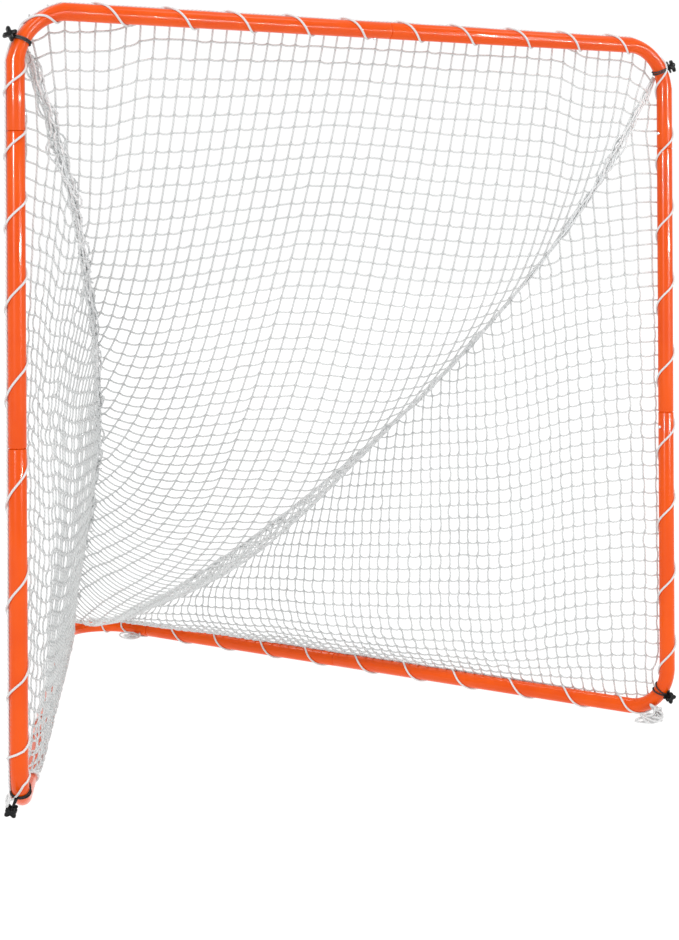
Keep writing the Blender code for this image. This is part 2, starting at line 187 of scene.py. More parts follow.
class Paint:
    """A new material, with short ways to build its shader."""

    def __init__(self, name):
        self.material = bpy.data.materials.new(name)
        self.material.use_nodes = True
        self.tree = self.material.node_tree

    def finish(self, inputs):
        fill(self.tree, self.tree.nodes["Principled BSDF"], inputs)
        return self.material

    def texture(self, kind, **inputs):
        """A texture's pattern in the piece's own space."""
        inputs["Vector"] = new_node(self.tree, "TexCoord").outputs["Object"]
        return new_node(self.tree, kind, inputs).outputs["Fac"]

    def noise(self, scale, detail, roughness=0.5):
        return self.texture("TexNoise", Scale=scale, Detail=detail, Roughness=roughness)

    def ramp(self, factor, *stops):
        """A ramp between two (position, grey or colour) stops."""
        node = new_node(self.tree, "ValToRGB", {"Fac": factor})
        for element, (position, value) in zip(node.color_ramp.elements, stops):
            element.position = position
            element.color = (*(value if isinstance(value, tuple) else (value,) * 3), 1)
        return node.outputs["Color"]

    def bump(self, height, strength, distance, below=None):
        inputs = {"Height": height, "Strength": strength, "Distance": distance}
        if below is not None:
            inputs["Normal"] = below
        return new_node(self.tree, "Bump", inputs).outputs["Normal"]

    def mix(self, factor, first, second):
        inputs = {0: factor, 6: first, 7: second}
        return new_node(self.tree, "Mix", inputs, data_type="RGBA").outputs[2]

    def calc(self, operation, *values):
        inputs = dict(enumerate(values))
        return new_node(self.tree, "Math", inputs, operation=operation).outputs[0]

    def strands(self, twist, lobes):
        """Height of strands laid round a cord, from a UV map of metres along and turns round."""
        place = new_node(self.tree, "UVMap", uv_map="along").outputs["UV"]
        split = new_node(self.tree, "SeparateXYZ", {0: place}).outputs
        around = self.calc("MULTIPLY", split["Y"], lobes)
        turns = self.calc("MULTIPLY_ADD", split["X"], twist, around)
        return self.calc("ABSOLUTE", self.calc("SINE", self.calc("MULTIPLY", turns, math.pi)))


def coat_material():
    """Glossy orange powder coat: orange peel, faint mottling, small rubbed marks."""
    paint = Paint("orange_powder_coat")
    tone = paint.ramp(paint.noise(9.0, 4.0),
                      (0.30, (0.79, 0.076, 0.001)), (0.70, (0.86, 0.098, 0.002)))
    rubbed = paint.ramp(paint.noise(55.0, 8.0, 0.72), (0.70, 0.0), (0.78, 1.0))
    coarse = paint.bump(paint.noise(60.0, 2.0), 0.10, 0.0010)
    return paint.finish({
        "Base Color": paint.mix(rubbed, tone, (0.76, 0.09, 0.006)),
        "Roughness": paint.ramp(rubbed, (0.0, 0.24), (1.0, 0.42)),
        "Normal": paint.bump(paint.noise(420.0, 2.0), 0.10, 0.0003, coarse),
        "Coat Weight": 0.28, "Coat Roughness": 0.06, "Specular IOR Level": 0.1,
    })


def cord_material(name, light, groove_shade_and_soil, twists, lobes, relief, sheen=0.3):
    """Twisted or braided cord; two opposite twists make a braid. Its colour has painted shade,
    darker in the grooves between strands, and is darker again in soiled patches.
    """
    paint = Paint(name)
    height = paint.strands(twists[0], lobes)
    for twist in twists[1:]:
        height = paint.calc("MULTIPLY", height, paint.strands(twist, lobes))
    # painted shade: the grooves between the strands are coloured darker than their crowns, as if
    # shadowed
    shade = paint.ramp(height, (0.0, groove_shade_and_soil), (0.55, light))
    soil = paint.ramp(paint.noise(3.0, 4.0), (0.45, 0.0), (0.80, 0.35))
    laid = paint.bump(height, 0.9, relief)
    return paint.finish({
        # soiled patches take the same dark colour as the painted groove shade
        "Base Color": paint.mix(soil, shade, groove_shade_and_soil),
        "Normal": paint.bump(paint.noise(900.0, 2.0), 0.35, relief * 0.4, laid),
        "Roughness": 0.8, "Sheen Weight": sheen,
    })


def knot_material():
    """Twine pulled into a knot: the same white, with crossing strands in relief and painted shade
    between them.
    """
    paint = Paint("knot_twine")
    strands = paint.texture("TexWave", Scale=260.0, Distortion=6.0, Detail=1.0)
    return paint.finish({
        # painted shade: the darker colour between the crossing strands stands in for their shadow
        "Base Color": paint.ramp(strands, (0.0, NET_GROOVE_SHADE_AND_SOIL), (0.6, NET_LIGHT)),
        "Normal": paint.bump(strands, 0.8, 0.0005),
        "Roughness": 0.75,
    })


def plastic_material():
    """Black moulded plastic with a fine spark-eroded grain."""
    paint = Paint("knob_plastic")
    cloud = paint.noise(60.0, 3.0)
    return paint.finish({
        "Base Color": paint.ramp(cloud, (0.35, (0.003, 0.0035, 0.004)),
                                 (0.7, (0.008, 0.009, 0.010))),
        "Roughness": paint.ramp(cloud, (0.3, 0.30), (0.7, 0.46)),
        "Normal": paint.bump(paint.noise(1400.0, 2.0), 0.25, 0.00015),
        "Specular IOR Level": 0.15,
    })


def steel_material():
    """Bright zinc-plated spring steel with fine rubbed lines."""
    paint = Paint("zinc_steel")
    lines = paint.noise(1800.0, 3.0)
    return paint.finish({
        "Base Color": paint.ramp(lines, (0.3, (0.50, 0.51, 0.53)), (0.7, (0.74, 0.75, 0.77))),
        "Roughness": paint.ramp(lines, (0.3, 0.20), (0.7, 0.38)),
        "Normal": paint.bump(lines, 0.15, 0.0001),
        "Metallic": 1.0,
    })


# each cord's second colour is painted shade for the grooves between its strands, and also the
# colour of its soiled patches
NET_LIGHT = (0.74, 0.755, 0.752)
NET_GROOVE_SHADE_AND_SOIL = (0.48, 0.495, 0.497)
COAT = coat_material()
TWINE = cord_material("net_twine", NET_LIGHT, NET_GROOVE_SHADE_AND_SOIL, [110.0], 2.0, 0.0004)
KNOT = knot_material()
CORD = cord_material("lacing_cord", (0.88, 0.88, 0.87), (0.52, 0.52, 0.53),
                     [170.0, -170.0], 4.0, 0.0005)
BORDER = cord_material("border_cord", (0.84, 0.85, 0.85), (0.52, 0.54, 0.55), [90.0], 2.0, 0.0005)
ELASTIC = cord_material("elastic_cord", (0.011, 0.011, 0.012), (0.003, 0.003, 0.003),
                        [420.0, -420.0], 4.0, 0.0003, 0.0)
PLASTIC = plastic_material()
STEEL = steel_material()


# ---------------------------------------------------------------- mesh tools
def place(name, data):
    """A new object in the scene."""
    thing = bpy.data.objects.new(name, data)
    bpy.context.scene.collection.objects.link(thing)
    return thing


def finish_piece(name, mesh, material, body=ROOT, replaces=()):
    """Puts a mesh in the scene as a piece of the goal."""
    mesh.materials.clear()
    mesh.materials.append(material)
    piece = place(name, mesh)
    mesh.shade_smooth()
    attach(piece, body)
    if replaces:
        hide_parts(*replaces)


def facing(spot, way):
    """The matrix that stands a shape on a spot with its own z along a way."""
    return Matrix.Translation(spot) @ way.to_track_quat("Z", "Y").to_matrix().to_4x4()


def unit(rows):
    """Each row made one unit long."""
    return rows / np.linalg.norm(rows, axis=-1, keepdims=True)


def run_along(points):
    """How far each point lies along the line through them all."""
    return np.concatenate([[0], np.cumsum(np.linalg.norm(np.diff(points, axis=0), axis=1))])


def rows_at(s, run, rows):
    """The rows of a line at runs s along it."""
    return np.stack([np.interp(s, run, rows[:, c]) for c in range(3)], -1)


def frames_along(points):
    """Tangents and two square directions at each point, carried along without twist."""
    step = unit(np.diff(np.asarray(points, float), axis=0))
    tangent = unit(np.vstack([step[:1], step[:-1] + step[1:], step[-1:]]))
    side = np.zeros_like(tangent)
    side[0] = unit(np.cross(tangent[0], np.eye(3)[np.argmin(abs(tangent[0]))]))
    for i in range(1, len(tangent)):
        side[i] = unit(side[i - 1] - tangent[i] * (side[i - 1] @ tangent[i]))
    return tangent, side, np.cross(tangent, side)


def circle(side, across, sides):
    """Ways out from a tube's axis, all round it, at each row of its square directions."""
    angle = 2 * np.pi * np.arange(sides) / sides
    return (side[..., None, :] * np.cos(angle)[:, None]
            + across[..., None, :] * np.sin(angle)[:, None])


def walls(run, sides):
    """Triangles and UVs of tubes' walls; run has a row for each tube, metres along it."""
    tubes, stations = run.shape
    grid = np.meshgrid(np.arange(tubes), np.arange(stations - 1), np.arange(sides), indexing="ij")
    tube, i, k = (a.ravel() for a in grid)
    base, after = (tube * stations + i) * sides, (k + 1) % sides
    v0, v1 = k / sides, (k + 1) / sides
    corner = {"a": (base + k, run[tube, i], v0), "b": (base + after, run[tube, i], v1),
              "c": (base + sides + after, run[tube, i + 1], v1),
              "d": (base + sides + k, run[tube, i + 1], v0)}
    faces = [np.stack([corner[x][0] for x in way], 1) for way in ("abc", "acd")]
    uvs = [np.stack([np.stack(corner[x][1:], 1) for x in way], 1) for way in ("abc", "acd")]
    return faces, uvs


class Tubes:
    """Gathers swept cords and repeated small shapes into one mesh with a UV map."""

    def __init__(self):
        self.points, self.faces, self.uvs, self.count = [], [], [], 0

    def _add(self, points, faces, uvs):
        self.points.append(np.asarray(points, np.float32).reshape(-1, 3))
        self.faces.append(np.asarray(faces, np.int64) + self.count)
        self.uvs.append(np.asarray(uvs, np.float32).reshape(-1, 2))
        self.count += len(self.points[-1])

    def cord(self, points, radius, sides=8):
        """One closed cord, with a low point at each end."""
        points = np.asarray(points, float)
        tangent, side, across = frames_along(points)
        skin = points[:, None] + circle(side, across, sides) * radius
        ends = [points[0] - tangent[0] * radius * 0.5, points[-1] + tangent[-1] * radius * 0.5]
        faces, uvs = walls(run_along(points)[None], sides)
        start = len(points) * sides
        k = np.arange(sides)
        after, last = (k + 1) % sides, start - sides
        faces += [np.stack([np.full(sides, start), after, k], 1),
                  np.stack([np.full(sides, start + 1), last + k, last + after], 1)]
        cap = np.full((2 * sides, 3, 2), (0.0, 0.5))
        self._add(np.vstack([skin.reshape(-1, 3), ends]), np.vstack(faces),
                  np.concatenate([*uvs, cap]))

    def bars(self, start, end, sag, radius, sides=5, stations=4):
        """Many short cords at once, each with its middle moved by its own sag."""
        n = len(start)
        t = np.linspace(0, 1, stations)[None, :, None]
        line = start[:, None] * (1 - t) + end[:, None] * t + sag[:, None] * 4 * t * (1 - t)
        line = off_tubes(line.reshape(-1, 3), radius).reshape(line.shape)
        tangent = unit(np.gradient(line, axis=1))
        side = unit(np.cross(tangent, BAR_GUIDE))
        skin = line[:, :, None] + radius * circle(side, np.cross(tangent, side), sides)
        length = np.linalg.norm(end - start, axis=1)
        faces, uvs = walls(length[:, None] * np.arange(stations) / (stations - 1), sides)
        k = np.arange(1, sides - 1)
        near = np.arange(n)[:, None] * stations * sides + np.zeros_like(k)
        far = near + (stations - 1) * sides
        for cap in ((near, near + k + 1, near + k), (far, far + k, far + k + 1)):
            faces.append(np.stack(cap, 2).reshape(-1, 3))
            uvs.append(np.zeros((n * len(k), 3, 2)))
        self._add(skin, np.vstack(faces), np.concatenate(uvs))

    def copies(self, shape, faces, centres, turns, size):
        """A small closed shape at many centres, each with its own turn and size."""
        spots = np.einsum("nij,pj->npi", turns, shape) * size[:, None, None] + centres[:, None]
        firsts = np.arange(len(centres)) * len(shape)
        index = (faces[None] + firsts[:, None, None]).reshape(-1, 3)
        self._add(spots, index, np.zeros((len(index), 3, 2)))

    def mesh(self, name):
        points = np.concatenate(self.points)
        faces = np.concatenate(self.faces)
        mesh = bpy.data.meshes.new(name)
        mesh.vertices.add(len(points))
        mesh.vertices.foreach_set("co", points.ravel())
        mesh.loops.add(len(faces) * 3)
        mesh.loops.foreach_set("vertex_index", faces.ravel().astype(np.int32))
        mesh.polygons.add(len(faces))
        mesh.polygons.foreach_set("loop_start", np.arange(0, len(faces) * 3, 3, dtype=np.int32))
        layer = mesh.uv_layers.new(name="along")
        layer.data.foreach_set("uv", np.concatenate(self.uvs).ravel().astype(np.float32))
        mesh.update(calc_edges=True)
        mesh.validate()
        return mesh


# ---------------------------------------------------------------- the coated ring
def post_point(hand, z):
    """A point on a post's centreline, and on up or down to the mouth's corners."""
    return Vector((hand * HALF, MOUTH_Y, z))


def button_sites():
    """Every joint's name, with the button's centre on the tube's axis and the way it points."""
    sites = {}
    for side, hand in SIDES.items():
        inner = Vector((-hand, 0, 0))
        sites[f"post_upper_{side}"] = post_point(hand, UPPER_SEAM_Z + PIN_SETBACK), inner
        sites[f"post_lower_{side}"] = post_point(hand, LOWER_SEAM_Z - PIN_SETBACK), inner
        for part, s in (("front", BASE_SEAM_S - PIN_SETBACK), ("rear", REAR_SEAM_S + PIN_SETBACK)):
            sites[f"base_{part}_{side}"] = base_point(hand, s), bar_outer(hand)
    sites["crossbar"] = Vector((CROSSBAR_SEAM_X - PIN_SETBACK, MOUTH_Y, TOP_Z)), -UP
    return sites


def end_profile(points, radii, swaged):
    """Extends one end of a tube: a swaged insert, or a rim with its edge broken."""
    seam = points[-1]
    ahead = (seam - points[-2]).normalized()
    if not swaged:
        edge = 0.0008
        return (
            [*points[:-1], seam - ahead * edge, seam - ahead * edge * 0.3, seam],
            [*radii[:-1], TUBE_R, TUBE_R - 0.00015, TUBE_R - 0.00045],
        )
    full = seam - ahead * (SWAGE_TAPER + GAP)
    steps = 6
    taper, sizes = [], []
    for i in range(steps + 1):
        blend = 0.5 - 0.5 * math.cos(math.pi * i / steps)
        taper.append(full + ahead * (SWAGE_TAPER * i / steps))
        sizes.append(TUBE_R + (SWAGE_R - TUBE_R) * blend)
    tip = [seam + ahead * (INSERT - 0.001), seam + ahead * INSERT]
    return [*points[:-1], *taper, *tip], [*radii[:-1], *sizes, SWAGE_R, SWAGE_R - 0.0004]


def bend_rows(points):
    """What bend_at says of each point, in rows."""
    away, press, shift = zip(*(bend_at(p) for p in points))
    return np.array([tuple(a) for a in away]), np.array(press), np.array(shift)[:, None]


def tube_piece(name, points, swage_start=False, swage_end=False, holes=()):
    """One hollow tube of the ring: outside, inside and rims, with its button holes."""
    radii = [TUBE_R] * len(points)
    points, radii = end_profile(points, radii, swage_end)
    points, radii = end_profile(points[::-1], radii[::-1], swage_start)
    _, side, across = frames_along(points)
    ring = circle(side, across, TUBE_SIDES)
    away, press, shift = bend_rows(points)
    spots = np.array([tuple(p) for p in points]) - away * shift
    outward = np.maximum(0, np.einsum("nkj,nj->nk", ring, away)) * press[:, None]
    ring = ring - away[:, None] * outward[..., None]
    radii = np.array(radii)[:, None, None]
    skins = [(spots[:, None] + ring * r).reshape(-1, 3) for r in (radii, radii - WALL)]
    n, faces = len(spots), []
    shift = n * TUBE_SIDES
    for k in range(TUBE_SIDES):
        after = (k + 1) % TUBE_SIDES
        for i in range(n - 1):
            a, b = i * TUBE_SIDES + k, i * TUBE_SIDES + after
            c, d = b + TUBE_SIDES, a + TUBE_SIDES
            faces += [(a, b, c, d), (a + shift, d + shift, c + shift, b + shift)]
        for i, way in ((0, 1), (n - 1, -1)):
            a, b = i * TUBE_SIDES + k, i * TUBE_SIDES + after
            faces.append((a, a + shift, b + shift, b)[::way])
    mesh = bpy.data.meshes.new(name)
    mesh.from_pydata(np.vstack(skins).tolist(), [], faces)
    mesh = with_holes(name, mesh, holes)
    finish_piece(name + "_coated", mesh, COAT, replaces=[name])
    mesh.set_sharp_from_angle(angle=math.radians(42))


def with_holes(name, mesh, holes):
    """The mesh with a round hole through one wall at each button."""
    body = place(name + "_plain", mesh)
    drills = []
    for spot, outward in holes:
        drill = bpy.data.meshes.new(name + "_drill")
        shape = bmesh.new()
        bmesh.ops.create_cone(shape, cap_ends=True, segments=28, depth=0.014,
                              radius1=BUTTON_HOLE_R, radius2=BUTTON_HOLE_R)
        shape.to_mesh(drill)
        shape.free()
        tool = place(name + "_drill", drill)
        tool.matrix_world = facing(spot + outward * (TUBE_R - 0.002), outward)
        cut = body.modifiers.new("hole", "BOOLEAN")
        cut.operation = "DIFFERENCE"
        cut.object = tool
        drills.append(tool)
    bpy.context.view_layer.update()
    cut_mesh = bpy.data.meshes.new_from_object(
        body.evaluated_get(bpy.context.evaluated_depsgraph_get())
    )
    for extra in [body, *drills]:
        bpy.data.objects.remove(extra, do_unlink=True)
    return cut_mesh


def even(start, end, step=0.08):
    """Points from start to end about a step apart, both ends included."""
    count = max(2, round((end - start).length / step))
    return [start.lerp(end, i / count) for i in range(count + 1)]


def build_ring(sites):
    """The nine tubes, each from seam to seam, with its holes for the buttons."""
    seam = Vector((CROSSBAR_SEAM_X, MOUTH_Y, TOP_Z))
    for side, hand in SIDES.items():
        upper, lower = post_point(hand, UPPER_SEAM_Z), post_point(hand, LOWER_SEAM_Z)
        front, rear = base_point(hand, BASE_SEAM_S), base_point(hand, REAR_SEAM_S)
        high, low = sites[f"post_upper_{side}"], sites[f"post_lower_{side}"]
        ahead, behind = sites[f"base_front_{side}"], sites[f"base_rear_{side}"]
        tube_piece(f"crossbar_corner_{side}", rounded(upper, post_point(hand, TOP_Z), seam),
                   False, side == "right", [high, sites["crossbar"]])
        tube_piece(f"post_tube_{side}", even(lower, upper), True, True, [low, high])
        tube_piece(f"base_corner_{side}", rounded(lower, post_point(hand, BASE_Z), front),
                   holes=[low, ahead])
        tube_piece(f"base_tube_{side}", even(front, rear), True, True, [ahead, behind])
    tube_piece("rear_bend_tube", rounded(base_point(-1, REAR_SEAM_S), REAR_CORNER,
                                         base_point(1, REAR_SEAM_S)),
               holes=[sites["base_rear_left"], sites["base_rear_right"]])


def turned_ring(radius, height, turns, lobe=0.0):
    """Points round an axis at one height, in four rounded lobes or none; one if it's the tip."""
    ring = []
    for k in range(turns if radius > 1e-6 else 1):
        angle = 2 * math.pi * k / turns
        wave = math.cos(4 * angle)
        r = radius + lobe * math.copysign(abs(wave) ** 0.7, wave)
        ring.append((r * math.cos(angle), r * math.sin(angle), height))
    return ring


def turned_mesh(name, rings, turn):
    """A closed mesh through the rings, one after another, put in place by a matrix."""
    shape = bmesh.new()
    rings = [[shape.verts.new(p) for p in ring] for ring in rings]
    turns = max(len(ring) for ring in rings)
    for low, high in zip(rings, rings[1:]):
        for k in range(turns):
            after = (k + 1) % turns
            corners = [low[k % len(low)], low[after % len(low)],
                       high[after % len(high)], high[k % len(high)]]
            shape.faces.new(list(dict.fromkeys(corners)))
    for end in (rings[-1], rings[0]):
        if len(end) > 1:
            shape.faces.new(end)
    shape.transform(turn)
    bmesh.ops.recalc_face_normals(shape, faces=shape.faces)
    mesh = bpy.data.meshes.new(name)
    shape.to_mesh(mesh)
    shape.free()
    return mesh


def build_buttons(sites):
    """Domed spring buttons, each on its own body."""
    steps, turns, dome = 7, 28, 0.0030
    shoulder = TUBE_R + BUTTON_PROUD - dome
    profile = [(0.0, BUTTON_FOOT_R), (BUTTON_R - 0.0004, BUTTON_FOOT_R),
               (BUTTON_R, BUTTON_FOOT_R + 0.0004)]
    for i in range(steps + 1):
        angle = math.pi / 2 * i / steps
        profile.append((BUTTON_R * math.cos(angle), shoulder + dome * math.sin(angle)))
    rings = [turned_ring(radius, height, turns) for radius, height in profile]
    for name, (spot, way) in sites.items():
        mesh = turned_mesh(f"button_{name}", rings, facing(spot, way))
        finish_piece(f"button_{name}", mesh, STEEL, f"{name}_button",
                     [f"snap_button_{name}"])
        mesh.set_sharp_from_angle(angle=math.radians(40))


# ---------------------------------------------------------------- the ring as one path
def ease(x):
    """Smooth step from 0 to 1."""
    x = min(1.0, max(0.0, x))
    return x * x * (3 - 2 * x)


def ring_path():
    """The whole ring's centreline as one line of points, from the rear round to the rear."""
    ends = {hand: base_point(hand, REAR_SEAM_S) for hand in (-1, 1)}
    rear = rounded(ends[-1], REAR_CORNER, ends[1], 24)
    half = len(rear) // 2
    line = rear[half:] + even(ends[1], base_point(1, BEND_R), 0.02)[1:-1]
    corners = [
        (base_point(1, BEND_R), post_point(1, BASE_Z), UP),
        (post_point(1, TOP_Z - BEND_R), post_point(1, TOP_Z), Vector((-1, 0, 0))),
        (Vector((-HALF + BEND_R, MOUTH_Y, TOP_Z)), post_point(-1, TOP_Z), -UP),
        (post_point(-1, BASE_Z + BEND_R), post_point(-1, BASE_Z), bar_way(-1)),
    ]
    for start, corner, leave in corners:
        bend = rounded(start, corner, corner + leave * BEND_R, 14)
        line += even(line[-1], start, 0.02)[1:] + bend[2:-1]
    line += even(line[-1], ends[-1], 0.02)[1:] + rear[1:half + 1]
    kept = [line[0]]
    for point in line[1:]:
        if (point - kept[-1]).length > 0.004:
            kept.append(point)
    return np.array([tuple(p) for p in kept])


def inner_share(hand, spot):
    """How far the net's border has crossed over the left ground bar to its inner side."""
    if hand > 0:
        return 0.0
    run = (np.array(spot) - np.array(base_point(hand, 0))) @ np.array(bar_way(hand))
    return ease((run - 0.10) / 0.25) * ease((2.06 - run) / 0.22)


def border_way(spot):
    """The side of the tube on which the net's border lies, at a point of the ring."""
    x, y, z = spot
    hand = 1.0 if x >= 0 else -1.0
    if y > MOUTH_Y + BEND_R * 0.9:
        turn = math.radians(-16 + 216 * inner_share(hand, spot))
        return np.array(bar_outer(hand)) * math.cos(turn) + np.array([0, 0, math.sin(turn)])
    if z > TOP_Z - BEND_R:
        share = min(1.0, max(0.0, (abs(x) - (HALF - BEND_R)) / BEND_R))
        return unit(np.array([hand * 0.88 * share, 0.36 + 0.11 * share, 0.93 * (1 - share)]))
    if z > BASE_Z + BEND_R:
        return np.array([hand * 0.88, 0.475, 0.0])
    return unit(np.array([hand * 0.88, 0.47, -0.1]))


def smooth_rows(rows, passes):
    """Evens out a line of directions and makes each one unit long again."""
    for _ in range(passes):
        rows[1:-1] = (rows[:-2] + rows[1:-1] * 2 + rows[2:]) / 4
    return unit(rows)


RING = ring_path()
RING_WAY, RING_SIDE, RING_ACROSS = frames_along(RING)
RING_RUN = run_along(RING)
RING_BORDER = smooth_rows(np.stack([border_way(p) for p in RING]), 10)
RING_AWAY, RING_PRESS, RING_SHIFT = bend_rows(RING)
RING = RING - RING_AWAY * RING_SHIFT


def nearest(spot):
    """The number of the ring's point that is nearest to a spot."""
    return int(np.argmin(((RING - np.array(spot)) ** 2).sum(1)))


def off_tubes(points, gap):
    """Moves points that lie inside the ring's tubes out to the surface, gap clear."""
    points = points.copy()
    near = np.flatnonzero((points[:, 1] < MOUTH_Y + 0.06) | (points[:, 2] < 0.09))
    for part in np.array_split(near, len(near) // 4000 + 1):
        offset = points[part][:, None] - RING[None]
        i = np.argmin((offset ** 2).sum(2), axis=1)
        arm = offset[np.arange(len(part)), i]
        arm = arm - RING_WAY[i] * (arm * RING_WAY[i]).sum(1)[:, None]
        size = np.linalg.norm(arm, axis=1)
        push = np.maximum(0, TUBE_R + gap - size) / np.maximum(size, 1e-6)
        points[part] += arm * push[:, None]
    return points


def on_border(spot):
    """The place on the net's border cord that is nearest to a point of the ring."""
    i = nearest(spot)
    centre = RING[i] + RING_WAY[i] * ((np.array(spot) - RING[i]) @ RING_WAY[i])
    return centre + RING_BORDER[i] * (TUBE_R + BORDER_LIFT)


# ---------------------------------------------------------------- the net
# the two folds hang differently: four steering points each, x outward, y from the mouth, z
FOLDS = {
    -1: ((0.894, 0.050, 1.777), (0.544, 0.033, 0.896),
         (0.116, 1.861, 0.285), (0.095, 1.865, 0.065)),
    1: ((0.920, 0.030, 1.774), (0.447, 0.047, 0.864),
        (0.106, 1.778, 0.071), (0.070, 1.880, 0.062)),
}


def fold_curve(hand, t):
    """Where the roof meets a side panel, from the top corner down to the rear bend."""
    t = np.asarray(t, float)[..., None]
    a, b, c, d = (np.array(p) for p in FOLDS[hand])
    spot = a * (1 - t) ** 3 + 3 * b * (1 - t) ** 2 * t + 3 * c * (1 - t) * t ** 2 + d * t ** 3
    return spot * np.array([hand, 1, 1]) + np.array([0, MOUTH_Y, 0])


class Net:
    """Knots joined by twine that can go slack but not stretch."""

    def __init__(self):
        self.spots, self.held, self.push = [], [], []
        self.bars, self.rest, self.batch = [], [], []

    def knot(self, spot, held=False, push=(0, 0, 0)):
        self.spots.append(np.asarray(spot, float))
        self.held.append(held)
        self.push.append(np.asarray(push, float))
        return len(self.spots) - 1

    def tie(self, a, b, rest, batch):
        self.bars.append((a, b))
        self.rest.append(rest)
        self.batch.append(batch)

    def gap(self, a, b):
        return float(np.linalg.norm(self.spots[a] - self.spots[b]))

    def tie_to_fold(self, knot, row, fold, past, rng):
        """Ties a row's last knot to the fold, at its nearest place that isn't past the knot."""
        gap = np.linalg.norm(fold - self.spots[knot], axis=1)
        k = np.argmin(gap + 10 * np.maximum(0, past))
        end = self.knot(fold[k] + rng.normal(0, 0.003, 3), True)
        self.tie(knot, end, gap[k], 4 + row % 2)

    def hang(self, steps, passes=5, dt=0.006):
        """Lets the knots settle under gravity, with the held ones kept in place."""
        spots, held = np.array(self.spots), np.array(self.held)
        bars, rest = np.array(self.bars), np.array(self.rest)
        batch = np.array(self.batch)
        free = np.where(held, 0.0, 1.0)
        groups = []
        for number in np.unique(batch):
            pick = batch == number
            a, b = bars[pick].T
            share = np.maximum(free[a] + free[b], 1e-9)
            groups.append((a, b, rest[pick], (free[a] / share)[:, None],
                           (free[b] / share)[:, None]))
        close = np.min(((spots[:, None, :] - RING[None, ::3]) ** 2).sum(2), axis=1) < 0.12 ** 2
        close = np.flatnonzero(close & ~held)
        last = spots.copy()
        fall = (np.array([0, 0, -9.81]) + np.array(self.push)) * dt * dt
        count = np.bincount(bars.ravel(), minlength=len(spots))[:, None]
        for step in range(steps):
            moved = spots + ((spots - last) * 0.96 + fall) * free[:, None]
            last, spots = spots, moved
            for _ in range(passes):
                for a, b, length, wa, wb in groups:
                    gap = spots[b] - spots[a]
                    size = np.linalg.norm(gap, axis=1)
                    over = np.maximum(size - length, 0) / np.maximum(size, 1e-9)
                    pull = gap * over[:, None]
                    np.add.at(spots, a, pull * wa)
                    np.add.at(spots, b, -pull * wb)
            if step > steps - 12:
                total = np.zeros_like(spots)
                np.add.at(total, bars[:, 0], spots[bars[:, 1]])
                np.add.at(total, bars[:, 1], spots[bars[:, 0]])
                spots += (total / np.maximum(count, 1) - spots) * 0.10 * free[:, None]
            spots[:, 2] = np.maximum(spots[:, 2], 0.004)
            spots[close] = off_tubes(spots[close], TWINE_R)
        self.spots = spots
        return spots


def crossbar_drop(x):
    """How far the crossbar's centreline is below its level, near its end bends."""
    past = max(0.0, abs(x) - (HALF - BEND_R))
    return BEND_R - math.sqrt(max(0.0, BEND_R ** 2 - min(past, BEND_R * 0.98) ** 2))


def bar_rise(s):
    """Height of the base corner's centreline above the ground bar, near the bend."""
    if s >= BEND_R:
        return 0.0
    return BEND_R - math.sqrt(BEND_R ** 2 - (BEND_R - s) ** 2)


def roof_net(rng):
    """The roof: columns from the crossbar down to a fold or the rear bend, joined by rows."""
    net = Net()
    t = np.linspace(0, 1, 900)
    folds = {hand: fold_curve(hand, t) for hand in (-1, 1)}
    columns = {}
    reach = int(0.90 / MESH)
    for j in range(-reach, reach + 1):
        x = j * MESH
        hand = 1 if x >= 0 else -1
        top = on_border((x, MOUTH_Y, TOP_Z - crossbar_drop(x)))
        far = abs(x) * (1 - ROOF_FAN * ease((abs(x) - 0.50) / 0.25))
        away = folds[hand][:, 0] * hand
        end = fold_curve(hand, np.interp(far, away[::-1], t[::-1]))
        if far <= away[-1]:
            end = RING[nearest((x, APEX_Y, BASE_Z))] + np.array([0, 0, TUBE_R + 0.004])
        span = np.linalg.norm(end - top)
        sag = ROOF_SAG * span
        length = span * (1 + 8 / 3 * (sag / 4 / span) ** 2)
        pitch = MESH * (0.905 + ROOF_SPREAD[hand] * min(1.0, abs(x) / 0.5))
        start = MESH * (0.62 + 0.95 * ease((abs(x) - 0.58) / 0.14))
        first = 0 if start > pitch * 1.1 else 1
        count = max(first, int((length - start) / pitch) + 1)
        column = {-1: net.knot(top, True)}
        for i in range(first, count + 1):
            share = (start + (i - 1) * pitch) / length
            if share > 1 - SHORT_END * pitch / length:
                break
            spot = top + (end - top) * share
            spot[2] -= sag * share * (1 - share)
            column[i] = net.knot(spot + rng.normal(0, 0.0008, 3))
        column[max(column) + 1 if max(column) >= 0 else 1] = \
            net.knot(end + rng.normal(0, 0.003, 3), True)
        keys = sorted(column)
        for a, b in zip(keys, keys[1:]):
            gap = net.gap(column[a], column[b])
            net.tie(column[a], column[b], gap * 1.004 * rng.normal(1, 0.008), b % 2)
        columns[j] = column
    for j in range(-reach, reach):
        left, right = columns[j], columns[j + 1]
        ends = max(left), max(right)
        for i in sorted(set(left) & set(right)):
            if i < 0 or i in ends:
                continue
            gap = net.gap(left[i], right[i])
            net.tie(left[i], right[i], max(gap, MESH) * rng.normal(1.004, 0.010), 2 + j % 2)
    for hand, fold in folds.items():
        for j in range(reach + 1):
            column = columns[hand * j]
            outer = columns[hand * (j + 1)] if j < reach else {0: 0}
            for i in sorted(column):
                if i < max(outer) or i < 1 or i == max(column):
                    continue
                past = abs(net.spots[column[i]][0]) - abs(fold[:, 0])
                net.tie_to_fold(column[i], i, fold, past, rng)
    return net


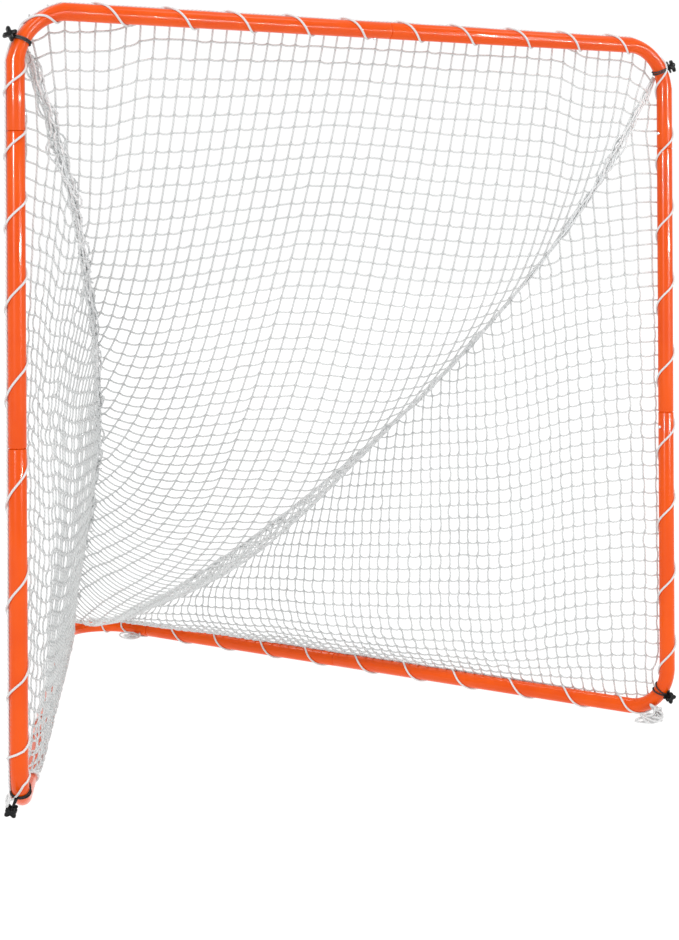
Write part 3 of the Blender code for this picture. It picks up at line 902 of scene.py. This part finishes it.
def hanging_line(hand, s, top, fold, along, count=200):
    """One column of a side panel, from over the ground bar up to the fold.

    Its rows run straight from the post to the fold; low down the slack bellies inward.
    """
    way, outer = np.array(bar_way(hand)), np.array(bar_outer(hand))
    corner = np.array([hand * HALF, MOUTH_Y, 0.0])
    end = rows_at(top, along, fold)
    start = np.array(base_point(hand, s)) + np.array([0, 0, bar_rise(s)])
    inner = inner_share(hand, start)
    start += outer * TUBE_R * (0.4 - 1.65 * inner)
    start[2] += (TUBE_R + 0.004) * (1 - 0.8 * inner)
    u = np.linspace(0, 1, count)
    z = start[2] + (end[2] - start[2]) * u
    ratio = -((fold - corner) @ outer) / np.maximum(along, 0.02)
    level = np.minimum.accumulate(fold[:, 2])
    tilt = np.interp(z, level[::-1], ratio[::-1])
    run = s + (top - s) * u ** 2
    peak = min(0.15, 0.35 * max(0.02, end[2] - start[2]))
    share = (z - start[2]) / peak
    belly = (BELLY * min(1.0, s) if hand > 0 else LEFT_BELLY * ease(s / 0.25)) \
        * share * np.exp(1 - share) * np.minimum(1, 4 * (1 - u))
    if hand > 0:
        tilt *= (-(end - corner) @ outer / top) / tilt[-1] if abs(tilt[-1]) > 1e-4 else 1.0
        inward = run * tilt + belly
    else:
        far = np.maximum(np.interp(z, level[::-1], along[::-1]), 0.02)
        power = 1 + 2.2 * np.array([ease((0.95 - h) / 0.55) for h in z])
        inward = far * tilt * (1 - (1 - np.clip(run / far, 0, 1)) ** power) + belly
    line = corner + way * run[:, None] - outer * inward[:, None]
    line[:, 2] = z
    line += (start - line[0]) * ((1 - u) ** 3)[:, None]
    return line, run_along(line), end


def side_net(hand, rng):
    """A side: columns from the ground bar up to the fold, with rows that start at the post."""
    net = Net()
    t = np.linspace(0, 1, 900)
    fold = fold_curve(hand, t)
    way, outer = np.array(bar_way(hand)), np.array(bar_outer(hand))
    corner = np.array([hand * HALF, MOUTH_Y, 0.0])
    along = (fold - corner) @ way
    columns = {0: {}}
    for i in range(1, int((TOP_Z - BEND_R * 0.6 - BASE_Z) / MESH)):
        height = BASE_Z + i * MESH + POST_OFFSET[hand]
        if height > BASE_Z + BEND_R:
            columns[0][i] = net.knot(on_border(corner + np.array([0, 0, height])), True)
    reach = int(along[-1] / HUNG)
    for k in range(1, reach + 1):
        s = k * HUNG
        foot = np.array(base_point(hand, s))
        foot[2] += bar_rise(s)
        foot = on_border(foot)
        top = max(along[0], s - LEAN * ease(s / 0.9))
        line, arc, end = hanging_line(hand, s, top, fold, along)
        first = round((foot[2] - BASE_Z) / MESH)
        column = {first: net.knot(foot, True)}
        pleat = PLEAT[hand] * ease(s / 0.15) * (math.sin(0.66 * k + 0.8 * hand)
                                          + 0.5 * math.sin(1.43 * k + 0.3))
        bunch = 0.75 * PLEAT[hand] * math.sin(0.66 * k + 0.8 * hand + 1.3)
        gather = SQUEEZE * ease((s - 0.08) / 0.5)
        height, i = 0.35 * MESH, 1
        while height < arc[-1] - SHORT_END * MESH:
            spot = rows_at(height, arc, line)
            bulge = math.sin(math.pi * min(1.0, height / arc[-1]) ** 0.7)
            spot += outer * bulge * pleat + way * bulge * bunch
            column[first + i] = net.knot(spot + rng.normal(0, 0.0011, 3))
            height += MESH * 0.985 * (1 - gather * (1 - ease((i - 2) / 5)))
            i += 1
        column[first + i] = net.knot(end + rng.normal(0, 0.004, 3), True)
        keys = sorted(column)
        for i, (a, b) in enumerate(zip(keys, keys[1:])):
            net.tie(column[a], column[b], max(MESH, net.gap(column[a], column[b])), i % 2)
        columns[k] = column
    for k in range(reach):
        left, right = columns[k], columns[k + 1]
        for i in sorted(set(left) & set(right)):
            if net.held[left[i]] and net.held[right[i]]:
                continue
            net.tie(left[i], right[i], max(net.gap(left[i], right[i]), MESH), 2 + k % 2)
    for k in range(reach + 1):
        column = columns[k]
        following = columns.get(k + 1, {})
        top = max(column)
        for i in sorted(column):
            if i in following or i == top or i < 3:
                continue
            net.tie_to_fold(column[i], i, fold, k * HUNG - along - LEAN, rng)
    return net


def knot_shape():
    """A small knot: a lump of twine with two crossed wraps standing out of it."""
    shape = bmesh.new()
    bmesh.ops.create_icosphere(shape, subdivisions=2, radius=1.0)
    shape.verts.ensure_lookup_table()
    points = np.array([v.co for v in shape.verts])
    faces = np.array([[v.index for v in f.verts] for f in shape.faces])
    shape.free()
    first = np.exp(-((points[:, 0] + points[:, 1]) / 0.45) ** 2)
    second = np.exp(-((points[:, 0] - points[:, 1]) / 0.45) ** 2)
    swell = 0.78 + 0.30 * np.maximum(first, 0.8 * second)
    return points * swell[:, None] * np.array([1.15, 0.95, 0.80]), faces


def turns_about(angles, a, b):
    """Matrices that turn axis a toward axis b, one for each angle."""
    turns = np.tile(np.eye(3), (len(angles), 1, 1))
    turns[:, a, a] = turns[:, b, b] = np.cos(angles)
    turns[:, a, b], turns[:, b, a] = -np.sin(angles), np.sin(angles)
    return turns


def tie_knots(name, centres, rng):
    """A knot at every centre, each turned and sized a little differently."""
    count = len(centres)
    spin = turns_about(rng.uniform(0, 2 * np.pi, count), 0, 2)
    lean = turns_about(rng.uniform(-0.5, 0.5, count), 1, 2)
    knots = Tubes()
    knots.copies(*knot_shape(), centres, lean @ spin, KNOT_R * rng.uniform(0.85, 1.15, count))
    finish_piece(name, knots.mesh(name), KNOT)


def draw_net(name, net, nodes, rng, steps):
    """Twine along every bar, slack bars hanging, and a knot on every crossing."""
    spots = net.hang(steps=steps)
    bars, rest = np.array(net.bars), np.array(net.rest)
    start, end = spots[bars[:, 0]], spots[bars[:, 1]]
    gap = end - start
    size = np.linalg.norm(gap, axis=1)
    keep = size > 0.004
    start, end, gap, size, rest = (a[keep] for a in (start, end, gap, size, rest))
    depth = np.sqrt(np.maximum(rest - size, 0) * size * 3 / 8)
    depth = np.minimum(depth, BAR_SAG) + rng.uniform(0, 0.0008, len(size))
    down = np.array([0, 0, -1.0]) + rng.normal(0, 0.4, gap.shape)
    down -= gap / size[:, None] * ((down * gap).sum(1) / size)[:, None]
    down /= np.maximum(np.linalg.norm(down, axis=1), 1e-6)[:, None]
    twine = Tubes()
    twine.bars(start, end, down * depth[:, None], TWINE_R)
    finish_piece(name + "_twine", twine.mesh(name + "_twine"), TWINE,
                 replaces=nodes)
    used = np.unique(bars[keep])
    tie_knots(name + "_knots", spots[used[~np.array(net.held)[used]]], rng)


def wander(count, step, size, rng):
    """A smooth random walk about zero, count by 3."""
    raw = rng.normal(0, 1, (count // step + 4, 3))
    at = np.linspace(0, len(raw) - 1.001, count)
    low = at.astype(int)
    mix = (at - low)[:, None]
    mix = mix * mix * (3 - 2 * mix)
    return (raw[low] * (1 - mix) + raw[np.minimum(low + 1, len(raw) - 1)] * mix) * size


def build_folds(rng):
    """The gathered band of border cord and bunched meshes along each fold."""
    for side, hand in SIDES.items():
        band = Tubes()
        count = 220
        t = np.linspace(0, 1, count)
        middle = fold_curve(hand, t)
        full = 0.0068 if hand < 0 else 0.0028
        width = (full + 0.0050 * np.exp(-((t - 0.07) / 0.09) ** 2)
                 + 0.0030 * np.maximum(0, t - 0.6))[:, None]
        lumps = []
        for strand in range(3):
            turn = 2 * np.pi * (strand / 3 + 9 * t)
            twist = np.stack([np.cos(turn), 0.3 * np.sin(turn), np.sin(turn)], 1) * 0.0034
            band.cord(middle + twist + wander(count, 8, 0.0015, rng), BORDER_R, 6)
        for strand in range(9 if hand < 0 else 6):
            line = middle + wander(count, 4, 1.0, rng) * width
            band.cord(line, TWINE_R, 5)
            lumps.append(line[rng.integers(0, 6)::7])
        loops = 90 if hand < 0 else 20
        for i in range(loops):
            at = np.clip((i + rng.uniform(0, 1)) / loops + np.array([0, 0.006, 0.013]), 0, 1)
            bend = fold_curve(hand, at) + rng.normal(0, full * 1.3, (3, 3))
            fine = np.linspace(0, 1, 7)[:, None]
            curve = (bend[0] * (1 - fine) ** 2 + 2 * bend[1] * fine * (1 - fine)
                     + bend[2] * fine ** 2)
            band.cord(curve, TWINE_R, 5)
        finish_piece(f"fold_band_{side}", band.mesh(f"fold_band_{side}"), BORDER,
                     replaces=[f"seam_cord_{side}"])
        tie_knots(f"fold_knots_{side}", np.concatenate(lumps), rng)


# ---------------------------------------------------------------- lacing and borders
def along_ring(s, rows):
    """A table's rows at runs s of the ring."""
    return rows_at(s, RING_RUN, rows)


def on_surface(s, ring, lift):
    """Points on the tube's surface at runs s, in the directions ring, raised by lift."""
    away, press = along_ring(s, RING_AWAY), np.interp(s, RING_RUN, RING_PRESS)
    out = np.maximum(0, (ring * away).sum(1)) * press
    return along_ring(s, RING) + (ring - away * out[:, None]) * TUBE_R + ring * lift


def crossings():
    """Where the lacing crosses the open side of each tube, one turn after another."""
    inside, corner = -bar_outer(1), Vector((-0.5, -0.866, 0))
    found = [(Vector((0.045, MOUTH_Y + 1.928, BASE_Z)), FRONT), (base_point(1, 2.045), inside)]
    found += [(base_point(1, 1.989 - 0.1885 * k), inside) for k in range(1, 10)]
    found += [(base_point(1, 0.115), inside)]
    found += [(post_point(1, 0.180 + 0.2010 * k), corner) for k in range(9)]
    found += [(Vector((0.777 - 0.1632 * k, MOUTH_Y, TOP_Z)), FRONT) for k in range(10)]
    found += [(Vector((-0.860, MOUTH_Y, 1.838)), FRONT)]
    left_heights = (1.700, 1.573, 1.413, 1.223, 1.030, 0.778, 0.551, 0.327, 0.174, 0.082)
    found += [(post_point(-1, z), FRONT) for z in left_heights]
    return found + [(base_point(-1, 0.270 + LACE_PITCH * k), -bar_outer(-1)) for k in range(10)]


def build_lacing():
    """One cord wound round the whole ring, over the net's border."""
    marks, angles = [], []
    for spot, way in crossings():
        i = nearest(spot)
        angle = math.atan2(np.array(way) @ RING_ACROSS[i], np.array(way) @ RING_SIDE[i])
        if angles:
            turn = angle - angles[-1]
            turn -= 2 * math.pi * round((turn - 2 * math.pi) / (2 * math.pi))
            angle = angles[-1] + turn
        marks.append(RING_RUN[i])
        angles.append(angle)
    s = np.linspace(max(0.004, marks[0] - 0.10), marks[-1] + 0.10, 1500)
    theta = np.interp(s, marks, angles)
    beyond = np.minimum(0, s - marks[0]) + np.maximum(0, s - marks[-1])
    theta += beyond * 2 * math.pi / LACE_PITCH
    fronts = np.interp(s, marks, np.array(angles) - np.arange(len(angles)) * 2 * math.pi)
    theta += 0.35 * np.sin(theta - fronts)
    ring = unit(along_ring(s, RING_SIDE) * np.cos(theta)[:, None]
                + along_ring(s, RING_ACROSS) * np.sin(theta)[:, None])
    facing_border = np.maximum(0, (ring * along_ring(s, RING_BORDER)).sum(1))
    over = np.minimum(0.0038, 0.0042 * facing_border ** 10)
    line = on_surface(s, ring, CORD_R + 0.0001 + over[:, None])
    line[:, 2] = np.maximum(line[:, 2], CORD_R + 0.0002)
    cord = Tubes()
    cord.cord(line, CORD_R, 9)
    nodes = [f"lacing_{part}_{side}" for part in ("post", "base") for side in SIDES]
    finish_piece("lacing_cord", cord.mesh("lacing_cord"), CORD,
                 replaces=["lacing_crossbar", *nodes])


def build_border(rng):
    """The net's border cord, drawn tight along the outside of the whole ring."""
    count = 900
    s = np.linspace(0.02, RING_RUN[-1] - 0.02, count)
    way = unit(along_ring(s, RING_BORDER))
    slide = unit(np.cross(way, np.gradient(along_ring(s, RING), axis=0)))
    border = Tubes()
    for strand, radius in enumerate((BORDER_R, TWINE_R)):
        sway = 0.0024 * np.sin(s / 0.055 + strand * math.pi) * (1.0 if strand else 0.6)
        sway += wander(count, 6, 0.0010, rng)[:, 0]
        line = on_surface(s, way, radius + 0.0003) + slide * sway[:, None]
        line[:, 2] = np.maximum(line[:, 2], radius)
        border.cord(line, radius, 7)
    finish_piece("net_border", border.mesh("net_border"), BORDER)


def tangle(middle, size, radius, turns, rng):
    """A loose bunch of cord: a closed wander of loops about a point, above the ground."""
    count = turns * 16
    at = np.linspace(0, turns * 2 * np.pi, count)
    phase = rng.uniform(0, 2 * np.pi, 6)
    wave = [np.sin(at * r + p) for r, p in zip((1.0, 0.63, 1.37, 0.81, 1.13, 0.47), phase)]
    line = np.stack([wave[0] + 0.5 * wave[1], wave[2] + 0.5 * wave[3],
                     wave[4] + 0.5 * wave[5]], 1) / 1.5
    line = off_tubes(np.array(middle) + line * np.array(size), radius)
    line[:, 2] = np.maximum(line[:, 2], radius + 0.0003)
    return line


def build_tails(rng):
    """Cord ends left knotted at the bottom corners and at the rear bend."""
    right = np.array([HALF - 0.052, MOUTH_Y + 0.010, 0.012])
    left = np.array([-HALF - 0.029, MOUTH_Y - 0.004, 0.052])
    rear = np.array(base_point(1, 1.985)) - np.array(bar_outer(1)) * 0.036
    rear[2] = 0.010
    bunch, thick = Tubes(), CORD_R * 1.2
    for middle, size, radius, turns, sides in (
        (right, (0.036, 0.024, 0.012), thick, 5, 7),
        (right + np.array([0.026, 0.004, 0.016]), (0.015, 0.014, 0.020), thick, 3, 7),
        (left, (0.005, 0.008, 0.018), TWINE_R, 2, 6),
        (rear, (0.050, 0.020, 0.010), CORD_R, 4, 7),
    ):
        bunch.cord(tangle(middle, size, radius, turns, rng), radius, sides)
    finish_piece("cord_tails", bunch.mesh("cord_tails"), CORD)


# ---------------------------------------------------------------- ties
def knob_mesh(name, middle, axis, spin):
    """A moulded toggle: two four-pronged plates on a short neck, edges rounded."""
    profile = [(0.2, -9.0), (0.86, -9.0), (0.97, -8.6), (1.0, -7.8), (1.0, -6.2), (0.96, -5.4),
               (0.86, -5.0), (0.50, -4.8), (0.44, -4.0), (0.44, -1.2), (0.52, -0.2),
               (0.88, 0.2), (0.97, 0.7), (1.0, 1.8), (1.0, 6.0), (0.97, 7.6), (0.90, 8.6),
               (0.78, 9.0), (0.62, 8.8), (0.50, 7.6), (0.30, 7.4), (0.12, 8.0)]
    rings = []
    for scale, height in profile:
        lobe = KNOB_LOBE if scale > 0.6 else KNOB_LOBE * max(0.0, (scale - 0.45) / 0.15)
        rings.append(turned_ring(KNOB_R * scale, height * 0.001, 96, lobe * scale))
    return turned_mesh(name, rings, facing(middle, axis) @ Matrix.Rotation(spin, 4, "Z"))


# for each tie: angle round the bend, lean of the knob, tilt of its axis and its spin (degrees),
# knob's distance from the tube's axis, spread of the two bands far from the knob
TIE_LOOKS = {
    ("top", "left"): (24, 10, 72, 20, 0.0320, 0.0026),
    ("top", "right"): (26, 40, 24, 25, 0.0300, 0.0034),
    ("bottom", "left"): (45, 20, 30, 30, 0.0550, 0.0110),
    ("bottom", "right"): (31, -8, 42, 10, 0.0310, 0.0095),
}


def build_ties():
    """Elastic cord round each mouth corner, held by a moulded toggle."""
    for (level, side), (angle, lean, tilt, spin, reach, spread) in TIE_LOOKS.items():
        angle, lean, tilt, spin = (math.radians(v) for v in (angle, lean, tilt, spin))
        (_, hub, out, rise), = [b for b in BENDS if b[0] == (level, side)]
        radial = out * math.cos(angle) + rise * math.sin(angle)
        tangent = rise * math.cos(angle) - out * math.sin(angle)
        spot = hub + radial * BEND_R
        _, press, shift = bend_at(spot)
        spot -= radial * shift
        lean_to = FRONT if level == "top" else bar_outer(SIDES[side])
        outward = (radial * math.cos(lean) + lean_to * math.sin(lean)).normalized()
        across = tangent.cross(outward).normalized()
        middle = spot + outward * reach
        middle.z = max(middle.z, KNOB_FLOOR)
        band = Tubes()
        for hand in (-1, 1):
            turn = np.linspace(0.10, 2 * np.pi - 0.10, 48)
            ring = (np.cos(turn)[:, None] * np.array(outward)
                    + np.sin(turn)[:, None] * np.array(across))
            squeeze = np.maximum(0, ring @ np.array(radial)) * press
            line = np.array(spot) + (ring - np.array(radial) * squeeze[:, None]) * TUBE_R
            line += ring * (ELASTIC_R + 0.0002)
            far = np.sin(turn / 2) ** 2
            line += np.array(tangent) * (hand * (ELASTIC_R + (spread - ELASTIC_R) * far))[:, None]
            neck = np.array(middle - outward * 0.003) + np.array(tangent) * hand * ELASTIC_R * 1.1
            band.cord(np.vstack([neck, line, neck]), ELASTIC_R, 8)
        name = f"elastic_{level}_{side}"
        finish_piece(name, band.mesh(name), ELASTIC,
                     replaces=[f"elastic_loop_{level}_{side}"])
        axis = (outward * math.cos(tilt) + FRONT * math.sin(tilt)).normalized()
        name = f"knob_{level}_{side}"
        knob = knob_mesh(name, middle, axis, spin)
        finish_piece(name, knob, PLASTIC,
                     replaces=[f"toggle_knob_{level}_{side}"])
        knob.set_sharp_from_angle(angle=math.radians(50))


# ---------------------------------------------------------------- camera, light and floor
def build_camera():
    """The camera in front of the goal and to its left, at standing height, kept level."""
    scene = bpy.context.scene
    scene.view_settings.view_transform = "Standard"
    scene.view_settings.look = "None"
    camera = scene.camera = place("camera", bpy.data.cameras.new("camera"))
    yaw, roll = math.radians(28.82), math.radians(-0.30)
    right = Vector((math.cos(yaw), -math.sin(yaw), 0))
    ahead = Vector((math.sin(yaw), math.cos(yaw), 0))
    level = right * math.cos(roll) + UP * math.sin(roll)
    raised = UP * math.cos(roll) - right * math.sin(roll)
    turn = Matrix((level, raised, -ahead)).transposed().to_4x4()
    camera.matrix_world = Matrix.Translation((-2.413, -4.206 + MOUTH_Y, 1.303)) @ turn
    camera.data.sensor_width = 36.0
    camera.data.lens = 73.5
    camera.data.shift_x = 0.003
    camera.data.shift_y = -0.2327


def build_world():
    """White studio surround, lit more softly than it looks."""
    world = bpy.data.worlds.new("studio")
    bpy.context.scene.world = world
    world.use_nodes = True
    tree = world.node_tree
    soft = tree.nodes["Background"]
    fill(tree, soft, {"Color": (1, 1, 1), "Strength": 0.70})
    wall = new_node(tree, "Background", {"Color": (1, 1, 1), "Strength": 1.02})
    seen = new_node(tree, "LightPath").outputs["Is Camera Ray"]
    choose = new_node(tree, "MixShader", {0: seen, 1: soft.outputs[0], 2: wall.outputs[0]})
    fill(tree, tree.nodes["World Output"], {"Surface": choose.outputs[0]})


def build_floor():
    """A wide pale floor."""
    mesh = bpy.data.meshes.new("floor")
    shape = bmesh.new()
    bmesh.ops.create_circle(shape, cap_ends=True, segments=96, radius=60)
    shape.to_mesh(mesh)
    shape.free()
    mesh.materials.append(Paint("floor").finish({
        "Base Color": (0.12, 0.12, 0.12), "Roughness": 0.9, "Specular IOR Level": 0.1,
        "Emission Color": (1, 1, 1), "Emission Strength": 0.98,
    }))
    place("floor", mesh)


def lamp(name, kind, energy, way, **settings):
    """A light that shines along a way."""
    data = bpy.data.lights.new(name, kind)
    data.energy = energy
    for key, value in settings.items():
        setattr(data, key, value)
    light = place(name, data)
    light.rotation_mode = "QUATERNION"
    light.rotation_quaternion = way.to_track_quat("-Z", "Y")
    return light


def build_lights():
    """Wide suns for the shape, strip boxes for the fine streaks on the tubes."""
    for azimuth, height, strength in ((248, 50, 1.12), (330, 58, 0.28), (110, 60, 0.57)):
        a, h = math.radians(azimuth), math.radians(height)
        way = -Vector((math.cos(a) * math.cos(h), math.sin(a) * math.cos(h), math.sin(h)))
        lamp("key", "SUN", strength, way, angle=math.radians(18))
    for spot, (wide, high), power, aim, spread in (
        ((-4.1, -3.4, 2.6), (0.16, 2.0), 48, (-0.4, -1.0, 1.7), 50),
        ((2.27, -5.8, 2.6), (0.20, 2.0), 14, (0.94, -1.0, 1.7), 20),
        ((2.4, -5.3, 1.33), (3.6, 0.07), 16, (0.0, -1.0, 1.86), 50),
    ):
        strip = lamp("strip", "AREA", power, Vector(aim) - Vector(spot), shape="RECTANGLE",
                     size=wide, size_y=high, spread=math.radians(spread))
        strip.location = spot
        strip.visible_diffuse = False


# ---------------------------------------------------------------- build
build_camera()
build_world()
build_floor()
build_lights()
button_places = button_sites()
build_ring(button_places)
build_buttons(button_places)
draw = np.random.default_rng(11)
draw_net("net_roof", roof_net(draw), ["net_roof_panel"], draw, ROOF_STEPS)
for panel_side, panel_hand in SIDES.items():
    draw_net(f"net_{panel_side}", side_net(panel_hand, draw), [f"net_side_{panel_side}"], draw,
             SIDE_STEPS)
build_folds(draw)
build_border(draw)
build_lacing()
build_tails(draw)
build_ties()
for joint in button_places:
    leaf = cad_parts[f"button_spring_{joint}"]
    leaf.material_slots[0].material = STEEL
